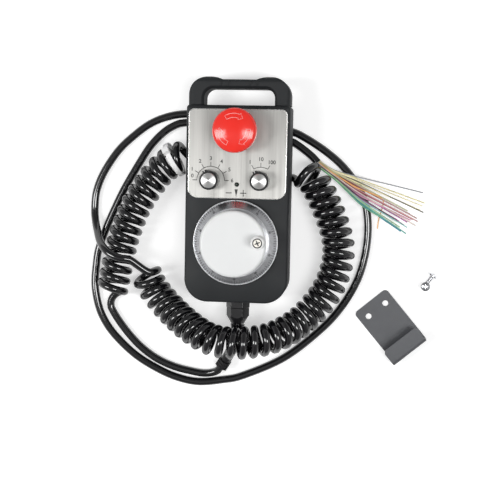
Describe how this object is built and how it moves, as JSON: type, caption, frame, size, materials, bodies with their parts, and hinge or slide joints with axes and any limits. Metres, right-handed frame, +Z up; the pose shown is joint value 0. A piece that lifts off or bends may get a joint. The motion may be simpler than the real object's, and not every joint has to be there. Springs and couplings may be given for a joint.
{
  "type": "pulse generator handwheel",
  "caption": "Hand-held pulse generator pendant with an emergency stop, two selectors, a scaled dial with a finger knob, a curly cord and a hook bracket.",
  "frame": {"origin": "on the ground, under the centre of the box around the handset, its gland and bend protector, the hook bracket and the screws", "axes": "+Z up from the ground through the face of the handset, +Y along the handset towards its handle, +X across it towards the bracket"},
  "size_m": [0.3427, 0.3034, 0.0913],
  "materials": {
    "handset_black": "fine matt moulded texture",
    "seal_rubber": "matt",
    "plain_steel": "zinc plated",
    "brushed_plate": "brushed",
    "circuit_green": "solder mask",
    "terminal_green": "moulded",
    "lamp_lens": "glossy",
    "control_black": "satin",
    "stop_red": "glossy moulded",
    "spring_steel": "bright wire",
    "contact_cream": "satin",
    "brass": "turned",
    "knob_black": "semi-gloss",
    "spun_aluminium": "spun",
    "encoder_grey": "painted",
    "turned_steel": "turned",
    "scale_clear": "clear over a pale printed scale",
    "rim_silver": "polished edge",
    "dial_white": "satin moulded",
    "finger_grey": "pearl satin",
    "gland_nylon": "glossy moulded",
    "cord_jacket": "glossy",
    "core_insulation": "coloured insulation",
    "tie_nylon": "natural",
    "bracket_grey": "powder coated",
    "screw_zinc": "zinc plated"
  },
  "bodies": {
    "handset": {"rear_shell": "handset_black", "front_shell": "handset_black", "shell_gasket": "seal_rubber", "case_screws": "plain_steel", "carry_handle": "handset_black", "handle_screws": "plain_steel", "face_plate": "brushed_plate", "terminal_board": "circuit_green", "terminal_blocks": "terminal_green", "indicator_lamp": "lamp_lens", "estop_bezel": "control_black", "estop_panel_nut": "plain_steel", "estop_spring": "spring_steel", "estop_contact_block": "contact_cream", "estop_contact_screws": "brass", "selector_switch_left": "control_black", "selector_switch_right": "control_black", "selector_nuts": "plain_steel", "selector_washers": "plain_steel", "encoder_housing": "encoder_grey", "encoder_screws": "plain_steel", "encoder_cover": "encoder_grey", "encoder_board": "circuit_green", "encoder_bearings": "turned_steel", "detent_spring": "brass", "gland_body": "gland_nylon", "gland_lock_nut": "gland_nylon", "gland_seal": "seal_rubber", "gland_dome_nut": "gland_nylon", "bend_protector": "gland_nylon", "protector_collar": "gland_nylon", "cord_inlet": "cord_jacket", "cord_tail": "cord_jacket", "coil_left": "cord_jacket", "coil_right": "cord_jacket", "cord_stretch": "cord_jacket", "cord_lead": "cord_jacket", "cord_cores": "core_insulation", "cable_tie": "tie_nylon"},
    "stop_button": {"estop_plunger": "control_black"},
    "stop_head": {"estop_head": "stop_red"},
    "left_knob": {"selector_shaft_left": "turned_steel", "selector_knob_left": "knob_black", "selector_cap_left": "spun_aluminium", "set_screw_left": "plain_steel"},
    "right_knob": {"selector_shaft_right": "turned_steel", "selector_knob_right": "knob_black", "selector_cap_right": "spun_aluminium", "set_screw_right": "plain_steel"},
    "dial": {"encoder_shaft": "turned_steel", "code_disc": "spring_steel", "detent_wheel": "brass", "dial_scale": "scale_clear", "dial_rim": "rim_silver", "dial_disc": "dial_white", "finger_pin": "turned_steel"},
    "finger_grip": {"finger_knob": "finger_grey"},
    "bracket": {"hook_bracket": "bracket_grey"},
    "loose_screws": {"bracket_screws": "screw_zinc"}
  },
  "joints": [
    {"name": "stop_push", "type": "slide", "parent": "handset", "child": "stop_button", "axis": [0, 0, -1], "range_m": [0, 0.005], "stiffness_N_per_m": 600, "springref_m": -0.003, "deforming": ["estop_spring"]},
    {"name": "stop_twist", "type": "hinge", "parent": "stop_button", "child": "stop_head", "pos_m": [-0.071, 0.0919, 0.06], "axis": [0, 0, -1], "range_deg": [0, 40], "stiffness_Nm_per_rad": 0.05},
    {"name": "left_selector", "type": "hinge", "parent": "handset", "child": "left_knob", "pos_m": [-0.0958, 0.0455, 0.06], "axis": [0, 0, 1], "range_deg": [-120, 60]},
    {"name": "right_selector", "type": "hinge", "parent": "handset", "child": "right_knob", "pos_m": [-0.0486, 0.0455, 0.06], "axis": [0, 0, 1], "range_deg": [-60, 0]},
    {"name": "dial_turn", "type": "hinge", "parent": "handset", "child": "dial", "pos_m": [-0.071, -0.0124, 0.056], "axis": [0, 0, 1], "continuous": true},
    {"name": "finger_spin", "type": "hinge", "parent": "dial", "child": "finger_grip", "pos_m": [-0.04634, -0.00981, 0.083], "axis": [0, 0, 1], "continuous": true},
    {"name": "bracket_lift", "type": "slide", "parent": "handset", "child": "bracket", "axis": [0, 0, 1], "range_m": [0, 0.06]},
    {"name": "screws_lift", "type": "slide", "parent": "handset", "child": "loose_screws", "axis": [0, 0, 1], "range_m": [0, 0.04]}
  ]
}
